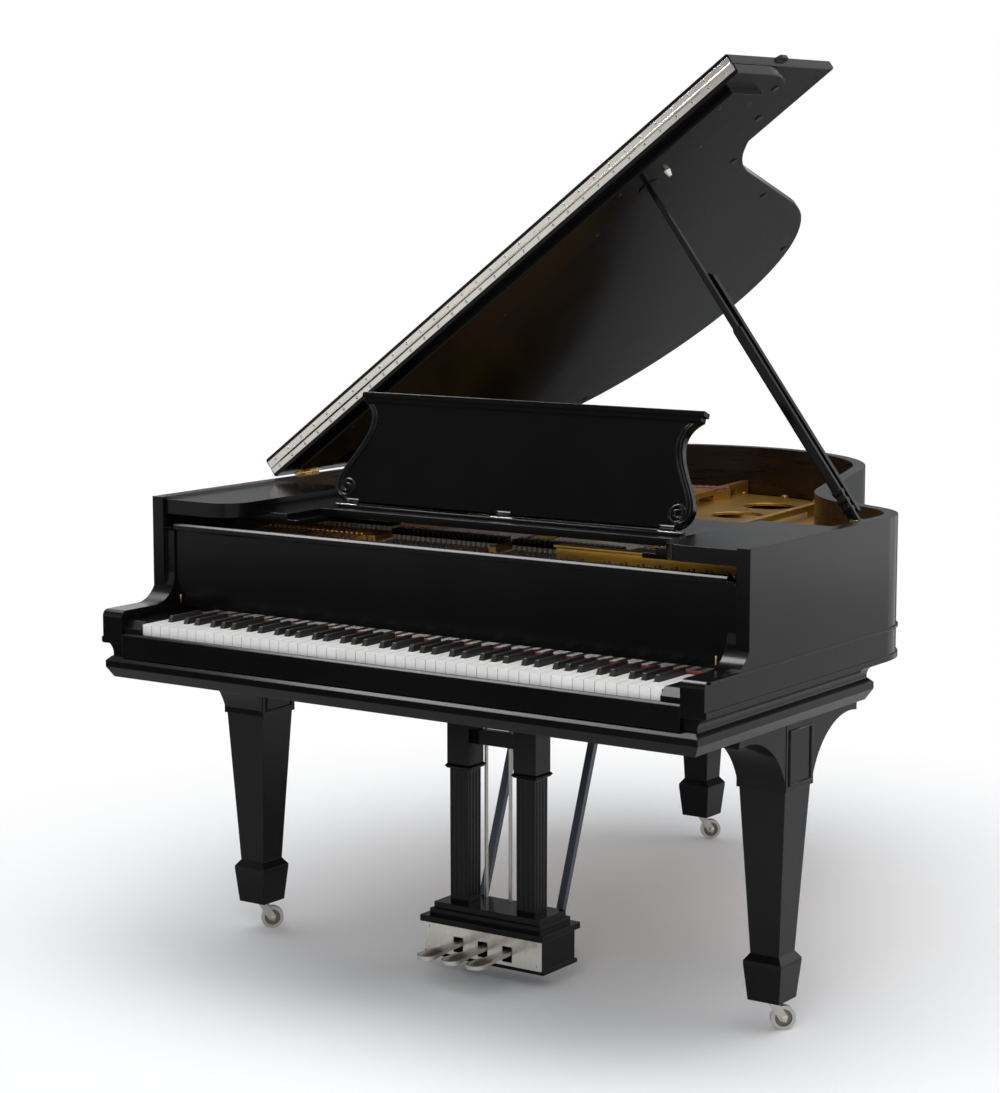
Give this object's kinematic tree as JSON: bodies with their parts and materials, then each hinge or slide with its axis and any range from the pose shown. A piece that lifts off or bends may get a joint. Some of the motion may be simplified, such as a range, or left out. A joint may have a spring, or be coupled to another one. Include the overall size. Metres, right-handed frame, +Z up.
{
  "type": "grand piano",
  "caption": "Black round-tailed grand piano on square tapered legs with casters, lid propped open and front flap folded back, music desk up and keyboard open.",
  "frame": {"origin": "on the floor, under the middle of the piano's plan with its lid open", "axes": "+Z up, +Y from the keyboard to the tail, +X to the treble side"},
  "size_m": [1.4502, 1.779, 1.8521],
  "materials": {
    "black_lacquer": "polished black lacquer",
    "case_wood": "oiled",
    "soundboard_wood": "satin varnish",
    "felt": "felt",
    "gold_plate": "bronze-gold lacquer",
    "steel": "bright",
    "copper_winding": "copper winding",
    "brass": "polished",
    "nickel": "nickel plated",
    "dark_steel": "dark blue-grey",
    "white_keys": "gloss white",
    "sharp_keys": "satin black"
  },
  "bodies": {
    "case": {"outer_rim": "black_lacquer", "back_frame": "case_wood", "keybed": "black_lacquer", "key_slip": "black_lacquer", "key_blocks": "black_lacquer", "key_frame": "case_wood", "action_stack": "case_wood", "hammers": "felt", "soundboard": "soundboard_wood", "bridges": "case_wood", "cast_plate": "gold_plate", "pinblock": "case_wood", "tuning_pins": "steel", "strings_bass": "copper_winding", "strings_treble": "steel", "dampers": "black_lacquer", "desk_rails": "black_lacquer", "rim_fittings": "brass", "lyre_frame": "black_lacquer", "pedal_box": "black_lacquer", "pedal_plate": "nickel", "lyre_braces": "dark_steel", "leg_tail": "black_lacquer", "leg_bass": "black_lacquer", "leg_treble": "black_lacquer"},
    "fallboard": {"fallboard": "black_lacquer"},
    "lid": {"lid_main": "black_lacquer", "lid_batten": "black_lacquer", "lid_fittings": "nickel"},
    "lid_flap": {"lid_flap": "black_lacquer", "flap_hinge": "nickel"},
    "long_prop": {"long_prop": "black_lacquer"},
    "short_prop": {"short_prop": "black_lacquer"},
    "desk_shelf": {"desk_shelf": "black_lacquer"},
    "music_desk": {"music_desk": "black_lacquer"},
    "desk_strut": {"desk_strut": "brass"},
    "keys_C": {"keys_C": "white_keys"},
    "keys_C_sharp": {"keys_C_sharp": "sharp_keys"},
    "keys_D": {"keys_D": "white_keys"},
    "keys_D_sharp": {"keys_D_sharp": "sharp_keys"},
    "keys_E": {"keys_E": "white_keys"},
    "keys_F": {"keys_F": "white_keys"},
    "keys_F_sharp": {"keys_F_sharp": "sharp_keys"},
    "keys_G": {"keys_G": "white_keys"},
    "keys_G_sharp": {"keys_G_sharp": "sharp_keys"},
    "keys_A": {"keys_A": "white_keys"},
    "keys_A_sharp": {"keys_A_sharp": "sharp_keys"},
    "keys_B": {"keys_B": "white_keys"},
    "pedal_soft": {"pedal_soft": "nickel"},
    "rod_soft": {"rod_soft": "nickel"},
    "pedal_sostenuto": {"pedal_sostenuto": "nickel"},
    "rod_sostenuto": {"rod_sostenuto": "nickel"},
    "pedal_sustain": {"pedal_sustain": "nickel"},
    "rod_sustain": {"rod_sustain": "nickel"},
    "caster_horn_bass": {"caster_horn_bass": "nickel"},
    "caster_wheel_bass": {"caster_wheel_bass": "nickel"},
    "caster_horn_treble": {"caster_horn_treble": "nickel"},
    "caster_wheel_treble": {"caster_wheel_treble": "nickel"},
    "caster_horn_tail": {"caster_horn_tail": "nickel"},
    "caster_wheel_tail": {"caster_wheel_tail": "nickel"}
  },
  "joints": [
    {"name": "fallboard_pivot", "type": "hinge", "parent": "case", "child": "fallboard", "pos_m": [0.01599, -0.708, 0.7435], "axis": [1, 0, 0], "range_deg": [0, 90]},
    {"name": "lid_hinge", "type": "hinge", "parent": "case", "child": "lid", "pos_m": [-0.69601, -0.8705, 0.963], "axis": [0, -1, 0], "range_deg": [0, 40]},
    {"name": "flap_hinge", "type": "hinge", "parent": "lid", "child": "lid_flap", "pos_m": [-0.13705, -0.3205, 1.4046], "axis": [0.8039, 0, 0.5948], "range_deg": [0, 180]},
    {"name": "long_prop_fold", "type": "hinge", "parent": "case", "child": "long_prop", "pos_m": [0.66599, -0.1985, 0.938], "axis": [0, -1, 0], "range_deg": [0, 53]},
    {"name": "short_prop_swing", "type": "hinge", "parent": "long_prop", "child": "short_prop", "pos_m": [0.64101, -0.1985, 0.97176], "axis": [0, 1, 0], "range_deg": [0, 30]},
    {"name": "desk_slide", "type": "slide", "parent": "case", "child": "desk_shelf", "axis": [0, -1, 0], "range_m": [0, 0.07]},
    {"name": "desk_tilt", "type": "hinge", "parent": "desk_shelf", "child": "music_desk", "pos_m": [0.01599, -0.4705, 0.9503], "axis": [-1, 0, 0], "range_deg": [0, 67]},
    {"name": "desk_strut_fold", "type": "hinge", "parent": "music_desk", "child": "desk_strut", "pos_m": [0.01599, -0.41975, 1.04222], "axis": [1, 0, 0], "range_deg": [0, 134]},
    {"name": "key_C", "type": "hinge", "parent": "case", "child": "keys_C", "pos_m": [0.01599, -0.6555, 0.698], "axis": [1, 0, 0], "range_deg": [0, 2.6], "stiffness_Nm_per_rad": 6, "springref_deg": -8.59},
    {"name": "key_C_sharp", "type": "hinge", "parent": "case", "child": "keys_C_sharp", "pos_m": [0.01599, -0.6555, 0.698], "axis": [1, 0, 0], "range_deg": [0, 2.6], "stiffness_Nm_per_rad": 6, "springref_deg": -8.59},
    {"name": "key_D", "type": "hinge", "parent": "case", "child": "keys_D", "pos_m": [0.01599, -0.6555, 0.698], "axis": [1, 0, 0], "range_deg": [0, 2.6], "stiffness_Nm_per_rad": 6, "springref_deg": -8.59},
    {"name": "key_D_sharp", "type": "hinge", "parent": "case", "child": "keys_D_sharp", "pos_m": [0.01599, -0.6555, 0.698], "axis": [1, 0, 0], "range_deg": [0, 2.6], "stiffness_Nm_per_rad": 6, "springref_deg": -8.59},
    {"name": "key_E", "type": "hinge", "parent": "case", "child": "keys_E", "pos_m": [0.01599, -0.6555, 0.698], "axis": [1, 0, 0], "range_deg": [0, 2.6], "stiffness_Nm_per_rad": 6, "springref_deg": -8.59},
    {"name": "key_F", "type": "hinge", "parent": "case", "child": "keys_F", "pos_m": [0.01599, -0.6555, 0.698], "axis": [1, 0, 0], "range_deg": [0, 2.6], "stiffness_Nm_per_rad": 6, "springref_deg": -8.59},
    {"name": "key_F_sharp", "type": "hinge", "parent": "case", "child": "keys_F_sharp", "pos_m": [0.01599, -0.6555, 0.698], "axis": [1, 0, 0], "range_deg": [0, 2.6], "stiffness_Nm_per_rad": 6, "springref_deg": -8.59},
    {"name": "key_G", "type": "hinge", "parent": "case", "child": "keys_G", "pos_m": [0.01599, -0.6555, 0.698], "axis": [1, 0, 0], "range_deg": [0, 2.6], "stiffness_Nm_per_rad": 6, "springref_deg": -8.59},
    {"name": "key_G_sharp", "type": "hinge", "parent": "case", "child": "keys_G_sharp", "pos_m": [0.01599, -0.6555, 0.698], "axis": [1, 0, 0], "range_deg": [0, 2.6], "stiffness_Nm_per_rad": 6, "springref_deg": -8.59},
    {"name": "key_A", "type": "hinge", "parent": "case", "child": "keys_A", "pos_m": [0.01599, -0.6555, 0.698], "axis": [1, 0, 0], "range_deg": [0, 2.6], "stiffness_Nm_per_rad": 6, "springref_deg": -8.59},
    {"name": "key_A_sharp", "type": "hinge", "parent": "case", "child": "keys_A_sharp", "pos_m": [0.01599, -0.6555, 0.698], "axis": [1, 0, 0], "range_deg": [0, 2.6], "stiffness_Nm_per_rad": 6, "springref_deg": -8.59},
    {"name": "key_B", "type": "hinge", "parent": "case", "child": "keys_B", "pos_m": [0.01599, -0.6555, 0.698], "axis": [1, 0, 0], "range_deg": [0, 2.6], "stiffness_Nm_per_rad": 6, "springref_deg": -8.59},
    {"name": "pedal_soft_press", "type": "hinge", "parent": "case", "child": "pedal_soft", "pos_m": [-0.04401, -0.4825, 0.072], "axis": [1, 0, 0], "range_deg": [0, 6], "stiffness_Nm_per_rad": 20, "springref_deg": -11.46},
    {"name": "rod_soft_lift", "type": "slide", "parent": "case", "child": "rod_soft", "axis": [0, 0, 1], "range_m": [0, 0.005]},
    {"name": "pedal_sostenuto_press", "type": "hinge", "parent": "case", "child": "pedal_sostenuto", "pos_m": [0.01599, -0.4825, 0.072], "axis": [1, 0, 0], "range_deg": [0, 6], "stiffness_Nm_per_rad": 20, "springref_deg": -11.46},
    {"name": "rod_sostenuto_lift", "type": "slide", "parent": "case", "child": "rod_sostenuto", "axis": [0, 0, 1], "range_m": [0, 0.005]},
    {"name": "pedal_sustain_press", "type": "hinge", "parent": "case", "child": "pedal_sustain", "pos_m": [0.07599, -0.4825, 0.072], "axis": [1, 0, 0], "range_deg": [0, 6], "stiffness_Nm_per_rad": 20, "springref_deg": -11.46},
    {"name": "rod_sustain_lift", "type": "slide", "parent": "case", "child": "rod_sustain", "axis": [0, 0, 1], "range_m": [0, 0.005]},
    {"name": "caster_bass_swivel", "type": "hinge", "parent": "case", "child": "caster_horn_bass", "pos_m": [-0.61201, -0.4855, 0.062], "axis": [0, 0, 1], "continuous": true},
    {"name": "caster_bass_roll", "type": "hinge", "parent": "caster_horn_bass", "child": "caster_wheel_bass", "pos_m": [-0.59566, -0.47078, 0.024], "axis": [-0.6691, 0.7431, 0], "continuous": true},
    {"name": "caster_treble_swivel", "type": "hinge", "parent": "case", "child": "caster_horn_treble", "pos_m": [0.64399, -0.4855, 0.062], "axis": [0, 0, 1], "continuous": true},
    {"name": "caster_treble_roll", "type": "hinge", "parent": "caster_horn_treble", "child": "caster_wheel_treble", "pos_m": [0.66034, -0.47078, 0.024], "axis": [-0.6691, 0.7431, 0], "continuous": true},
    {"name": "caster_tail_swivel", "type": "hinge", "parent": "case", "child": "caster_horn_tail", "pos_m": [-0.23401, 0.7445, 0.062], "axis": [0, 0, 1], "continuous": true},
    {"name": "caster_tail_roll", "type": "hinge", "parent": "caster_horn_tail", "child": "caster_wheel_tail", "pos_m": [-0.21766, 0.75922, 0.024], "axis": [-0.6691, 0.7431, 0], "continuous": true}
  ],
  "couplings": [
    {"joint": "desk_strut_fold", "follows": "desk_tilt", "ratio": 2},
    {"joint": "rod_soft_lift", "follows": "pedal_soft_press", "m_per_rad": 0.036},
    {"joint": "rod_sostenuto_lift", "follows": "pedal_sostenuto_press", "m_per_rad": 0.036},
    {"joint": "rod_sustain_lift", "follows": "pedal_sustain_press", "m_per_rad": 0.036}
  ]
}
